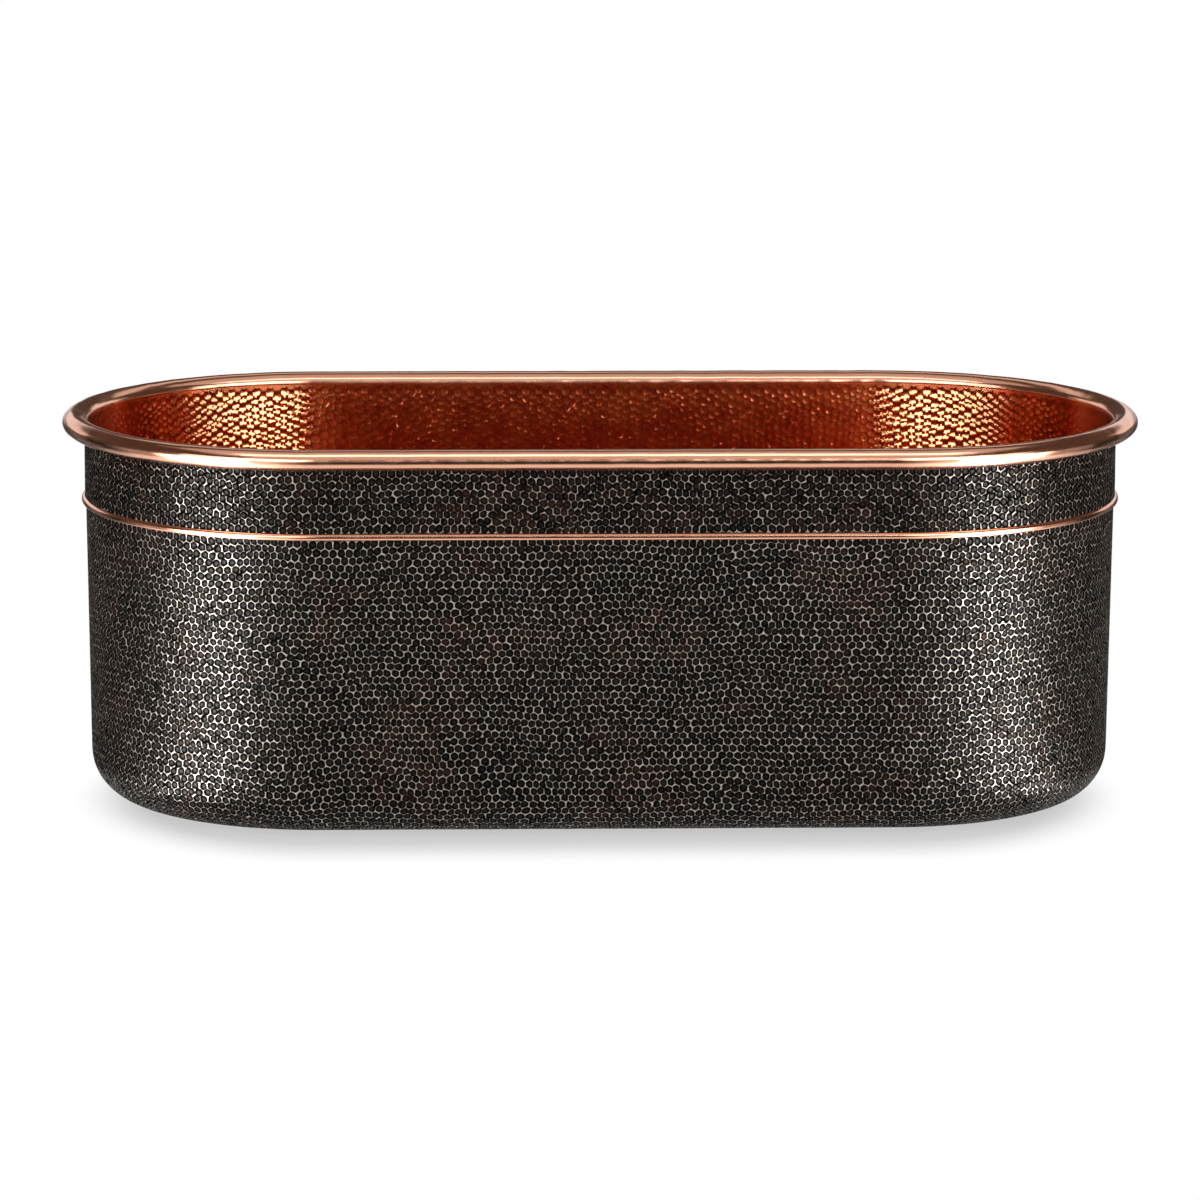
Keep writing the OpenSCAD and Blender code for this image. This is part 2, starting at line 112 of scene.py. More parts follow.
TRAY_FACING = (0.25, 0.50)   # the tray glows where it is seen steeply, and not where it is seen flatly
TRAY_GLOW = 1.0
WALL_RADIUS = 1.75
WALL_HEIGHT = 0.73
WALL_PITCH = 0.06
CARD_SHADE = 0.015
CARD_EDGE = 0.05
# Cards: degrees from the front, half width in degrees, strength, height of the lower edge
LIGHT_CARDS = (
    (47, 24, 17.5, -1),
    (20, 16, 0.9, -1),
    (80, 20, 0.35, -1),
    (127, 20, 0.15, -1),
    (168, 26, 0.5, -1),
    (158, 24, 0.6, 0.6),
)
# Lamps: name, azimuth, distance, height, width, depth, radiance, height aimed at; a pair if the azimuth isn't 0 or 180
LAMPS = (
    ("front", 27, 20.0, 6.8, 14.5, 10.5, 3.8, 0.6),
    ("front_side", 56, 20.0, 6.8, 7.0, 10.5, 2.2, 0.6),
    ("back", 145, 6.0, 2.0, 4.4, 1.6, 0.9, 0.6),
    ("overhead", 0, 0.73, 3.2, 3.2, 0.7, 2.4, 0.3),
    ("front_top", 0, 2.3, 3.0, 4.0, 1.8, 0.65, 0.35),
    ("back_top", 180, 2.6, 2.8, 3.2, 0.8, 0.75, 0.35),
    ("dome", 0, 0.0, 5.0, 6.0, 4.0, 0.55, 0.0),
)

# Places worked out from the frame
rim_low, rim_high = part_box("rim_roll")
liner_low, liner_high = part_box("inner_liner")
half_run = rim_high.x - rim_high.y
rim_z = (rim_low.z + rim_high.z) / 2
rim_half_height = (rim_high.z - rim_low.z) / 2
liner_in = liner_high.y - SHEET
seam_z = liner_high.z
rim_half_width = (rim_high.y - liner_in) / 2
rim_path = rim_high.y - rim_half_width
collar_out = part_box("collar_band")[1].y
bead_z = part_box("collar_band")[0].z
skirt_out = collar_out - SHEET - COLLAR_PLAY
skirt_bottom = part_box("outer_skirt")[0].z
basin_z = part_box("waste_flange")[1].z


def corner_centre(top_r, top_z, floor_z, slope, fall, radius):
    """Centre of the round between a wall that slopes and a floor that falls to the middle."""
    run = top_r * math.cos(slope) - (top_z - floor_z - radius / math.cos(fall)) * math.sin(slope) - radius
    r = run / (math.cos(slope) - math.tan(fall) * math.sin(slope))
    return np.array([r, floor_z + r * math.tan(fall) + radius / math.cos(fall)])


class Oval:
    """The oval that every section follows, with a whole number of columns laid round it."""

    def __init__(self, radius, pitch):
        self.run = round(2 * half_run / pitch)
        self.turn = round(math.pi * radius / pitch)
        self.columns = 2 * (self.run + self.turn)

    def at(self, column):
        """Spine x and outward direction at each column: front run, right turn, back run, left turn."""
        column = np.mod(column, self.columns)
        half = self.run + self.turn
        back = column >= half
        along = column - half * back
        side = 1 - 2 * back
        spine = side * (2 * np.minimum(along / self.run, 1) - 1) * half_run
        angle = np.maximum(along - self.run, 0) / self.turn * math.pi - math.pi / 2
        return spine, side * np.cos(angle), side * np.sin(angle)


def line(start, end):
    """Straight stretch of a section: its length, and its points and headings along it."""
    start, end = np.array(start, float), np.array(end, float)
    length = np.linalg.norm(end - start)
    heading = math.atan2(end[1] - start[1], end[0] - start[0])
    return length, lambda t: start + np.outer(t / length, end - start), lambda t: np.full(len(t), heading)


def arc(centre, radius, first, last):
    """Round stretch of a section, from one angle to another."""
    turn = math.copysign(1, last - first)

    def points(t):
        angle = first + turn * t / radius
        return np.array(centre) + radius * np.stack([np.cos(angle), np.sin(angle)], 1)

    return radius * abs(last - first), points, lambda t: first + turn * (t / radius + math.pi / 2)


def along_section(stretches, s):
    """Distance from the spine, height and outward normal at each arc length s."""
    point = np.zeros((len(s), 2))
    heading = np.zeros(len(s))
    start = 0.0
    for length, points, headings in stretches:
        inside = s >= start - 1e-9
        point[inside] = points(s[inside] - start)
        heading[inside] = headings(s[inside] - start)
        start += length
    return point[:, 0], point[:, 1], np.sin(heading), -np.cos(heading)


def wander(columns, total, s, rng):
    """Slow drift of the rows and columns, the same where the oval closes."""
    drift = np.zeros((2, len(columns)))
    around = total * COLUMN_PITCH / WANDER_LENGTH
    for axis in range(2):
        for _ in range(WANDER_WAVES):
            turns = round(around * rng.uniform(-1.2, 1.2))
            climb = 2 * math.pi / WANDER_LENGTH * rng.uniform(-1.2, 1.2)
            phase = rng.uniform(0, 2 * math.pi)
            drift[axis] += np.sin(2 * math.pi * turns * columns / total + climb * s + phase)
    return drift * WANDER / math.sqrt(3)


def hammered_band(oval, stretches, rng, dent=DENT, jitter=JITTER, open_end=False):
    """Centres, normals, triangles and depths of rows of hammer marks laid round the oval.
    The first row, and the last unless open_end, is a plain edge."""
    total_length = sum(stretch[0] for stretch in stretches)
    rows = max(2, round(total_length / (COLUMN_PITCH if open_end else ROW_PITCH)))
    count = oval.columns
    row, column = np.meshgrid(np.arange(rows + 1), np.arange(count), indexing="ij")
    row, column = row.ravel().astype(float), column.ravel().astype(float)
    edge_gap = row if open_end else np.minimum(row, rows - row)
    free = np.clip(edge_gap / 2, 0, 1)
    if open_end:
        shifted = column.copy()
        row = row + 0.5 * (column % 2) * np.clip(np.minimum(row, rows - row), 0, 1)
    else:
        shifted = column + 0.5 * (row % 2)
    step = total_length / rows
    drift = wander(shifted, count, row * step, rng)
    slide = rng.uniform(-ROW_SHIFT, ROW_SHIFT, rows + 1)[row.astype(int)] * (not open_end)
    shifted += free * (slide + drift[0] + rng.normal(0, jitter, len(row)))
    s = step * (row + free * (drift[1] + rng.normal(0, jitter, len(row))))
    s = np.clip(s, 0, total_length)
    spine, dx, dy = oval.at(shifted)
    r, z, nr, nz = along_section(stretches, s)
    centres = np.stack([spine + r * dx, r * dy, z], 1)
    normals = np.stack([nr * dx, nr * dy, nz], 1)
    i = np.arange(count)
    j = (i + 1) % count
    triangles = []
    for k in range(rows):
        low, high = k * count, (k + 1) * count
        slant = (i if open_end else k + 0 * i) % 2 == 0
        a, b = i[slant], j[slant]
        triangles += [np.stack([low + a, low + b, high + a], 1), np.stack([low + b, high + b, high + a], 1)]
        a, b = i[~slant], j[~slant]
        triangles += [np.stack([low + a, high + b, high + a], 1), np.stack([low + a, low + b, high + b], 1)]
    depth = dent * rng.uniform(*DENT_SPREAD, len(row)) * (edge_gap > 0)
    return centres, normals, np.concatenate(triangles), depth


def new_mesh(name, points, faces, attributes=None, crease=None):
    """Object from arrays of points and of triangles or quads, with float attributes on its points."""
    mesh = bpy.data.meshes.new(name)
    corners = faces.shape[1]
    mesh.vertices.add(len(points))
    mesh.vertices.foreach_set("co", points.astype(np.float32).ravel())
    mesh.loops.add(faces.size)
    mesh.loops.foreach_set("vertex_index", faces.astype(np.int32).ravel())
    mesh.polygons.add(len(faces))
    mesh.polygons.foreach_set("loop_start", np.arange(0, faces.size, corners, dtype=np.int32))
    mesh.polygons.foreach_set("loop_total", np.full(len(faces), corners, np.int32))
    mesh.polygons.foreach_set("use_smooth", np.ones(len(faces), bool))
    mesh.update(calc_edges=True)
    mesh.validate()
    if crease:
        mesh.set_sharp_from_angle(angle=crease)
    for key, values in (attributes or {}).items():
        mesh.attributes.new(key, "FLOAT", "POINT").data.foreach_set("value", values.astype(np.float32))
    piece = bpy.data.objects.new(name, mesh)
    bpy.context.scene.collection.objects.link(piece)
    return piece


def hammered_sheet(name, centres, normals, triangles, depth, rng, merged=0.04, lean_spread=0.02, lean_back=0.0):
    """Closed sheet whose face is one dimple round each centre, with a ridge between neighbours."""
    count, faces = len(centres), len(triangles)
    corner = centres[triangles].mean(1)
    corner_normal = normals[triangles].mean(1)
    starts = triangles.ravel()
    ends = np.roll(triangles, -1, 1).ravel()
    owner = np.repeat(np.arange(faces), 3)
    key = np.minimum(starts, ends) * count + np.maximum(starts, ends)
    edge_keys, edge = np.unique(key, return_inverse=True)
    edge_a, edge_b = edge_keys // count, edge_keys % count
    first = np.full(len(edge_keys), -1)
    second = np.full(len(edge_keys), -1)
    forward = starts < ends
    first[edge[forward]] = np.flatnonzero(forward)
    second[edge[~forward]] = np.flatnonzero(~forward)
    inner_edge = (first >= 0) & (second >= 0)

    # Heights: centres sunk, a sphere's hollow on the way out, ridges a little lower between their corners
    height = rng.uniform(0.5, 1.0, len(edge_keys))
    gone = rng.random(len(edge_keys)) < merged
    height[gone] = rng.uniform(0.0, 0.25, gone.sum())
    edge_depth = (depth[edge_a] + depth[edge_b]) / 2
    sink = edge_depth * (0.10 + 0.62 * (1 - height)) * inner_edge
    middle = (centres[edge_a] + centres[edge_b]) / 2
    middle_normal = (normals[edge_a] + normals[edge_b]) / 2
    across = corner[owner[np.maximum(first, 0)]] + corner[owner[np.maximum(second, 0)]]
    middle = np.where(inner_edge[:, None], 0.35 * middle + 0.325 * across, middle)
    middle = middle - middle_normal * sink[:, None]
    centre_point = centres - normals * depth[:, None]

    # Two rings of points in each cell, on one circle: towards its corners, and towards the middles of its ridges
    half = np.flatnonzero(inner_edge[edge])
    to_middle = middle[edge] - centres[starts]
    middle_far = np.linalg.norm(to_middle, axis=1)
    round_radius = np.bincount(starts, middle_far, count) / np.bincount(starts, minlength=count)
    lean = rng.normal(0, lean_spread, (count, 3))
    lean[:, 2] += lean_back
    highest = -HIGHEST_LEAN if np.any(lean_back) else 0.0

    def ring_points(reach, normal, cell, limit):
        far = np.linalg.norm(reach, axis=1)
        radius = np.minimum(RING * round_radius[cell], limit * far)
        offset = reach * (radius / far)[:, None]
        drop = depth[cell] * (1 - (radius / (HOLLOW_END * np.minimum(round_radius[cell], far))) ** 2)
        drop += (offset * lean[cell]).sum(1) * (depth[cell] > 0)
        return centres[cell] + offset - normal * np.maximum(drop, highest)[:, None]

    ring = ring_points(corner[owner] - centres[starts], corner_normal[owner], starts, RING_LIMIT)
    side_ring = ring_points(to_middle[half], middle_normal[edge[half]], starts[half], SIDE_RING_LIMIT)
    back = centres - normals * SHEET

    points = np.concatenate([centre_point, corner, middle, ring, side_ring, back])
    corner_at, middle_at = count, count + faces
    ring_at = middle_at + len(middle)
    side_at = ring_at + len(ring)
    back_at = side_at + len(side_ring)
    ridge = np.zeros(len(points))
    ridge[corner_at:middle_at] = 1.0
    ridge[middle_at:ring_at] = height * inner_edge
    ridge[:count] = -1.0
    tone = np.full(len(points), 0.5)
    cell_tone = rng.random(count)
    tone[:count] = cell_tone
    tone[ring_at:side_at] = cell_tone[starts]
    tone[side_at:back_at] = cell_tone[starts[half]]

    # Faces: in each cell, a fan to the rings and four triangles from the rings out to each ridge
    twin = np.where(forward[half], second[edge[half]], first[edge[half]])
    a = starts[half]
    left, right = corner_at + owner[half], corner_at + owner[twin]
    left_ring = ring_at + half
    right_ring = ring_at + twin - twin % 3 + (twin + 1) % 3
    side = side_at + np.arange(len(half))
    mid = middle_at + edge[half]
    inner = [
        np.stack([a, right_ring, side], 1),
        np.stack([a, side, left_ring], 1),
        np.stack([right_ring, right, mid], 1),
        np.stack([right_ring, mid, side], 1),
        np.stack([side, mid, left_ring], 1),
        np.stack([left_ring, mid, left], 1),
    ]
    rim = np.flatnonzero(~inner_edge[edge])
    a, b = starts[rim], ends[rim]
    mid, top = middle_at + edge[rim], corner_at + owner[rim]
    ring_a = ring_at + rim
    ring_b = ring_at + rim - rim % 3 + (rim + 1) % 3
    border = [
        np.stack([a, mid, ring_a], 1),
        np.stack([mid, top, ring_a], 1),
        np.stack([b, ring_b, mid], 1),
        np.stack([ring_b, top, mid], 1),
        np.stack([back_at + a, back_at + b, mid], 1),
        np.stack([back_at + b, b, mid], 1),
        np.stack([back_at + a, mid, a], 1),
    ]
    behind = [back_at + triangles[:, ::-1]]
    return new_mesh(name, points, np.concatenate(inner + border + behind),
                    {"ridge": ridge, "tone": tone}, math.radians(50))


def sweep(name, section, wave, seed):
    """Closed bar of one section, run round the oval, its surface a little uneven as hand work leaves it."""
    rng = np.random.default_rng(seed)
    section = np.array(section)
    oval = Oval(rim_path, 4.4 / STATIONS)
    count = oval.columns
    spine, dx, dy = oval.at(np.arange(count, dtype=float))
    wobble = np.zeros((2, count))
    for axis in range(2):
        for _ in range(10):
            turns = rng.integers(14, 60)
            wobble[axis] += np.sin(2 * math.pi * turns * np.arange(count) / count + rng.uniform(0, 2 * math.pi))
    wobble *= wave / 3
    middle = section.mean(0)
    out = section - middle
    shrink = 1 - (np.abs(wobble[0])[:, None] + np.zeros(len(section))) / np.abs(out).max()
    r = middle[0] + out[None, :, 0] * shrink
    z = middle[1] + out[None, :, 1] * shrink + wobble[1][:, None] * 0.5
    z = np.clip(z, section[:, 1].min(), section[:, 1].max())
    points = np.stack([spine[:, None] + r * dx[:, None], r * dy[:, None], z], 2).reshape(-1, 3)
    n = len(section)
    i, j = np.meshgrid(np.arange(count), np.arange(n), indexing="ij")
    after, up = (i + 1) % count, (j + 1) % n
    faces = np.stack([i * n + j, after * n + j, after * n + up, i * n + up], -1).reshape(-1, 4)
    return new_mesh(name, points, faces, crease=math.radians(50))


def rim_section(steps=18):
    """Oval of the rolled rim: two end arcs and two flatter arcs that meet them smoothly."""
    end_x = rim_half_width - RIM_END_RADIUS
    flat_r = (end_x ** 2 + rim_half_height ** 2 - RIM_END_RADIUS ** 2) / (2 * (rim_half_height - RIM_END_RADIUS))
    join = math.acos(end_x / (flat_r - RIM_END_RADIUS))
    points = []
    arcs = [
        (end_x, 0, RIM_END_RADIUS, -join, join),
        (0, rim_half_height - flat_r, flat_r, join, math.pi - join),
        (-end_x, 0, RIM_END_RADIUS, math.pi - join, math.pi + join),
        (0, flat_r - rim_half_height, flat_r, math.pi + join, 2 * math.pi - join),
    ]
    for x, z, radius, first, last in arcs:
        for k in range(steps):
            angle = first + (last - first) * k / steps
            points.append((rim_path + x + radius * math.cos(angle), rim_z + z + radius * math.sin(angle)))
    return points


def bead_section(steps=20):
    """Round of the bead, closed by a chord inside the collar and the skirt."""
    centre = collar_out - BEAD_INSET
    lean = math.radians(80)
    return [(centre + BEAD_RADIUS * math.cos(a), bead_z + BEAD_RADIUS * math.sin(a))
            for a in np.linspace(-lean * 1.1, lean, steps)]


def basin_marks(rng):
    """Hammer marks of the whole basin: rows down its wall and round its corner, and a net over its floor."""
    corner = corner_centre(liner_in, seam_z, basin_z, BASIN_SLOPE, BASIN_FALL, BASIN_CORNER)
    foot = corner + BASIN_CORNER * np.array([math.cos(BASIN_SLOPE), -math.sin(BASIN_SLOPE)])
    oval = Oval(liner_in, ROW_PITCH)
    stretches = [line((liner_in, seam_z), foot), arc(corner, BASIN_CORNER, -BASIN_SLOPE, BASIN_FALL - math.pi / 2)]
    centres, normals, triangles, depth = hammered_band(oval, stretches, rng, BASIN_DENT, BASIN_JITTER, True)
    first = len(centres) - oval.columns
    ring = centres[first:]
    reach = corner[0] + BASIN_CORNER * math.sin(BASIN_FALL)
    inner = reach - 0.6 * ROW_PITCH

    rows = int(2 * reach / ROW_PITCH)
    clear = RECESS_LIP + 0.55 * ROW_PITCH
    marks = []
    for row in range(rows + 1):
        y = -reach + 2 * reach * row / rows
        for x in np.arange(-half_run - reach, half_run + reach, COLUMN_PITCH):
            px = x + (row % 2) * COLUMN_PITCH / 2 + rng.normal(0, BASIN_JITTER * COLUMN_PITCH)
            py = y + rng.normal(0, BASIN_JITTER * ROW_PITCH)
            if math.hypot(max(abs(px) - half_run, 0), py) < inner and math.hypot(px, py) > clear:
                marks.append((px, py))
    hole_count = 24
    hole = [(RECESS_LIP * math.cos(a), RECESS_LIP * math.sin(a))
            for a in np.linspace(0, 2 * math.pi, hole_count, endpoint=False)]
    flat = [Vector(p) for p in [tuple(q[:2]) for q in ring] + hole + marks]
    outer_edges = [(k, (k + 1) % len(ring)) for k in range(len(ring))]
    hole_edges = [(len(ring) + k, len(ring) + (k + 1) % hole_count) for k in range(hole_count)]
    result = delaunay_2d_cdt(flat, outer_edges + hole_edges, [], 1, 1e-7)
    sources = [k[0] for k in result[3]]
    net = []
    for face in result[2]:
        corners = [sources[v] for v in face]
        if not all(len(ring) <= c < len(ring) + hole_count for c in corners):
            net.append(corners)
    net = np.array(net)
    a, b, c = [np.array([flat[k] for k in net[:, n]]) for n in range(3)]
    turned = (b[:, 0] - a[:, 0]) * (c[:, 1] - a[:, 1]) - (b[:, 1] - a[:, 1]) * (c[:, 0] - a[:, 0]) < 0
    net[turned] = net[turned][:, ::-1]

    extra = np.array(hole + marks)
    from_spine = np.hypot(np.maximum(np.abs(extra[:, 0]) - half_run, 0), extra[:, 1])
    height = basin_z + from_spine * math.tan(BASIN_FALL)
    centres = np.concatenate([centres, np.column_stack([extra, height])])
    normals = np.concatenate([normals, np.tile([0.0, 0.0, 1.0], (len(extra), 1))])
    dents = BASIN_DENT * rng.uniform(*DENT_SPREAD, len(extra))
    dents[:hole_count] = 0
    depth = np.concatenate([depth, dents])
    into_end = np.clip((np.abs(centres[:, 0]) - half_run + 0.02) / 0.05, 0, 1)
    depth *= 1 + (BASIN_END_DENT / BASIN_DENT - 1) * into_end
    turn = np.degrees(np.arctan2(np.maximum(np.abs(centres[:, 0]) - half_run, 0), np.abs(centres[:, 1])))
    lean_back = END_LEAN * np.clip(turn / 4, 0, 1) * np.clip((END_LEAN_LAST - turn) / 10, 0, 1)
    lean_back *= rng.uniform(*END_LEAN_SPREAD, len(depth)) * (depth > 0) * (normals[:, 2] < 0.3)
    return centres, normals, np.concatenate([triangles, first + net]), depth, lean_back


def waste_recess():
    """Smooth pressed dish round the waste, with a lip that lies against the hammered floor."""
    bottom = basin_z - RECESS_DEPTH
    slope_top = RECESS_RADIUS + RECESS_DEPTH
    turns = 96
    loop = []
    for k in range(turns):
        angle = 2 * math.pi * k / turns
        top = basin_z + abs(math.sin(angle)) * RECESS_LIP * math.tan(BASIN_FALL)
        profile = [
            (WASTE_HOLE, bottom), (RECESS_RADIUS - RECESS_EDGE, bottom),
            (RECESS_RADIUS, bottom + RECESS_EDGE / 2), (slope_top - RECESS_EDGE, basin_z - RECESS_EDGE),
            (slope_top, basin_z - RECESS_EDGE / 4), (RECESS_LIP, top), (RECESS_LIP, top - SHEET),
            (slope_top, basin_z - SHEET), (RECESS_RADIUS, bottom - SHEET), (WASTE_HOLE, bottom - SHEET),
        ]
        loop.append([(r * math.cos(angle), r * math.sin(angle), z) for r, z in profile])
    n = len(loop[0])
    i, j = np.meshgrid(np.arange(turns), np.arange(n), indexing="ij")
    after, up = (i + 1) % turns, (j + 1) % n
    faces = np.stack([i * n + j, i * n + up, after * n + up, after * n + j], -1).reshape(-1, 4)
    return new_mesh("waste_recess", np.array(loop).reshape(-1, 3), faces[:, ::-1], crease=math.radians(30))


def make_skins():
    """The three hammered sheets: skirt, collar and basin."""
    corner = corner_centre(skirt_out, bead_z, skirt_bottom, SKIRT_SLOPE, 0, SKIRT_CORNER)
    foot = corner + SKIRT_CORNER * np.array([math.cos(SKIRT_SLOPE), -math.sin(SKIRT_SLOPE)])
    skirt = [
        line((corner[0] - SKIRT_FLANGE, skirt_bottom), (corner[0], skirt_bottom)),
        arc(corner, SKIRT_CORNER, -math.pi / 2, -SKIRT_SLOPE),
        line(foot, (skirt_out, bead_z)),
    ]
    rng = np.random.default_rng(11)
    centres, normals, triangles, depth = hammered_band(Oval(skirt_out, COLUMN_PITCH), skirt, rng)
    depth[normals[:, 2] < -0.99] = 0
    outer = hammered_sheet("hammered_skirt", centres, normals, triangles, depth, rng)
    rng = np.random.default_rng(23)
    band = [line((collar_out, bead_z), (collar_out, rim_z - COLLAR_TOP * rim_half_height))]
    collar = hammered_sheet("hammered_collar", *hammered_band(Oval(collar_out, COLUMN_PITCH), band, rng), rng)
    rng = np.random.default_rng(37)
    *net, lean_back = basin_marks(rng)
    basin = hammered_sheet("hammered_basin", *net, rng, merged=0.0, lean_spread=0.004, lean_back=lean_back)
    return outer, collar, basin


class Nodes:
    """A material's node tree, with short calls for the nodes used here."""

    def __init__(self, name):
        self.material = bpy.data.materials.new(name)
        self.material.use_nodes = True
        self.tree = self.material.node_tree
        self.shader = self.tree.nodes["Principled BSDF"]

    def set(self, **values):
        for key, value in values.items():
            self.shader.inputs[key.replace("_", " ")].default_value = value
        return self

    def link(self, source, key):
        self.tree.links.new(source, self.shader.inputs[key])

    def add(self, kind, inputs=None, **settings):
        node = self.tree.nodes.new(kind)
        for key, value in settings.items():
            setattr(node, key, value)
        for key, value in (inputs or {}).items():
            if isinstance(value, bpy.types.NodeSocket):
                self.tree.links.new(value, node.inputs[key])
            else:
                node.inputs[key].default_value = value
        return node

    def attribute(self, name):
        return self.add("ShaderNodeAttribute", attribute_name=name).outputs["Fac"]

    def place(self):
        return self.add("ShaderNodeTexCoord").outputs["Object"]

    def axes(self):
        """The place's three coordinates."""
        return self.add("ShaderNodeSeparateXYZ", {0: self.place()}).outputs

    def past_straight(self, axes):
        """How far a place lies past the end of the tub's straight run."""
        return self.math("MAXIMUM", self.math("SUBTRACT", self.math("ABSOLUTE", axes[0]), half_run), 0.0)

    def noise(self, scale, detail):
        return self.add("ShaderNodeTexNoise", {"Vector": self.place(), "Scale": scale, "Detail": detail}).outputs["Fac"]

    def spread(self, value, low, high, to_low=0.0, to_high=1.0):
        node = self.add("ShaderNodeMapRange", {0: value, 1: low, 2: high, 3: to_low, 4: to_high})
        return node.outputs[0]

    def math(self, operation, a, b=0.0):
        return self.add("ShaderNodeMath", {0: a, 1: b}, operation=operation).outputs[0]

    def mix(self, factor, a, b):
        node = self.add("ShaderNodeMix", data_type="RGBA")
        for socket, value in ((node.inputs[0], factor), (node.inputs[6], a), (node.inputs[7], b)):
            if isinstance(value, bpy.types.NodeSocket):
                self.tree.links.new(value, socket)
            else:
                socket.default_value = value
        return node.outputs[2]

    def bump(self, height, strength, distance):
        node = self.add("ShaderNodeBump", {"Height": height, "Strength": strength, "Distance": distance})
        self.link(node.outputs[0], "Normal")


def colour(red, green, blue):
    return (red, green, blue, 1.0)


def patina_material():
    """Dark brown patina with pale bare metal along the ridges between the hammer marks from wear; on the collar under
    the rim the ridges are darker, a painted shade.
    """
    m = Nodes("patina_copper")
    ridge = m.attribute("ridge")
    tone = m.attribute("tone")
    cell = m.mix(tone, colour(0.0014, 0.0011, 0.0009), colour(0.0052, 0.0040, 0.0033))
    red = m.math("MULTIPLY", m.spread(m.noise(9, 2), 0.5, 0.62), m.spread(tone, 0.2, 1.0))
    cell = m.mix(red, cell, colour(0.014, 0.0062, 0.0045))
    wear_and_shade = m.math("MULTIPLY", ridge, m.spread(m.noise(110, 4), 0.3, 0.65, 0.55, 1.15))
    height = m.axes()[2]
    # Painted shade: the ridges on the collar, under the rim, are kept darker than on the skirt.
    under_rim_shade = m.spread(height, bead_z - 0.01, bead_z + 0.02, 1.0, 0.88)
    wear_and_shade = m.spread(m.math("MULTIPLY", wear_and_shade, under_rim_shade), 0.42, 1.08)
    pale = m.mix(m.noise(14, 3), colour(0.58, 0.52, 0.46), colour(0.80, 0.72, 0.64))
    m.link(m.mix(wear_and_shade, cell, pale), "Base Color")
    m.link(wear_and_shade, "Metallic")
    m.link(m.spread(ridge, -1.0, -0.15, 0.26, 0.0), "Specular IOR Level")
    m.link(m.spread(m.noise(60, 3), 0.3, 0.7, 0.34, 0.46), "Roughness")
    m.bump(m.noise(900, 4), 0.12, 0.0002)
    return m.material


def liner_material():
    """Bright hammered copper; darker along its ridges and on the long sides as painted shade, lighter on the flanks of
    the ends as painted light, and lighter towards the floor.
    """
    m = Nodes("liner_copper").set(Metallic=1.0, Coat_Weight=0.8, Coat_IOR=1.55, Coat_Roughness=0.12)
    place = m.axes()
    reach = m.math("ABSOLUTE", place[0])
    # Painted light: the flanks of the round ends take the bright colour, and the wall takes it towards the floor too.
    lit_flank = m.math("MULTIPLY", m.spread(reach, half_run - 0.05, half_run + 0.04),
                   m.spread(reach, half_run + 0.20, half_run + 0.36, 1.0, 0.0))
    end = m.math("MAXIMUM", lit_flank, m.spread(place[2], basin_z + 0.06, basin_z + 0.22, 0.75, 0.0))
    # The long sides' darker colour is painted shade; the bright colour is painted light on the ends.
    side = m.mix(m.spread(m.noise(7, 4), 0.3, 0.7), colour(0.52, 0.112, 0.026), colour(0.45, 0.090, 0.019))
    bright = m.mix(m.spread(m.noise(7, 4), 0.3, 0.7), colour(0.92, 0.38, 0.16), colour(0.88, 0.34, 0.13))
    # Painted shade along the ridges, so that the marks' outlines read dark.
    deep = m.spread(m.attribute("ridge"), 0.0, 1.0)
    m.link(m.mix(deep, m.mix(end, side, bright), colour(0.30, 0.06, 0.014)), "Base Color")
    m.link(m.spread(m.noise(35, 5), 0.3, 0.7, 0.14, 0.20), "Roughness")
    m.bump(m.noise(420, 5), 0.03, 0.0001)
    return m.material


def copper_material(name, base, deep, roughness, scratch=0.03):
    """Polished copper: warm, with faint clouding and fine brushing."""
    m = Nodes(name).set(Metallic=1.0)
    m.link(m.mix(m.spread(m.noise(7, 4), 0.3, 0.7), colour(*base), colour(*deep)), "Base Color")
    m.link(m.spread(m.noise(35, 5), 0.3, 0.7, roughness * 0.85, roughness * 1.2), "Roughness")
    m.bump(m.noise(420, 5), scratch, 0.0001)
    return m.material


def plain_material(name, dark, light, metallic, roughness, grain, bump):
    """Everyday metal, rubber or plastic with some clouding and a fine grain."""
    m = Nodes(name).set(Metallic=metallic)
    m.link(m.mix(m.noise(grain / 8, 4), colour(*dark), colour(*light)), "Base Color")
    m.link(m.spread(m.noise(grain / 3, 4), 0.3, 0.7, roughness * 0.85, roughness * 1.15), "Roughness")
    m.bump(m.noise(grain, 5), bump, 0.0003)
    return m.material


def make_materials():
    return {
        "patina_copper": patina_material(),
        "liner_copper": liner_material(),
        "polished_copper": copper_material("polished_copper", (0.86, 0.455, 0.305), (0.82, 0.41, 0.27), 0.17),
        "waste_copper": copper_material("waste_copper", (0.88, 0.50, 0.35), (0.82, 0.45, 0.30), 0.22),
        "brass": plain_material("brass", (0.52, 0.36, 0.14), (0.74, 0.56, 0.27), 1.0, 0.34, 500, 0.2),
        "steel": plain_material("steel", (0.10, 0.105, 0.11), (0.17, 0.175, 0.18), 0.6, 0.5, 600, 0.3),
        "zinc_plate": plain_material("zinc_plate", (0.50, 0.52, 0.54), (0.66, 0.68, 0.70), 1.0, 0.38, 300, 0.15),
        "black_rubber": plain_material(
            "black_rubber", (0.018, 0.018, 0.019), (0.035, 0.035, 0.036), 0.0, 0.7, 900, 0.3),
        "white_plastic": plain_material("white_plastic", (0.74, 0.74, 0.72), (0.82, 0.82, 0.80), 0.0, 0.45, 700, 0.1),
    }


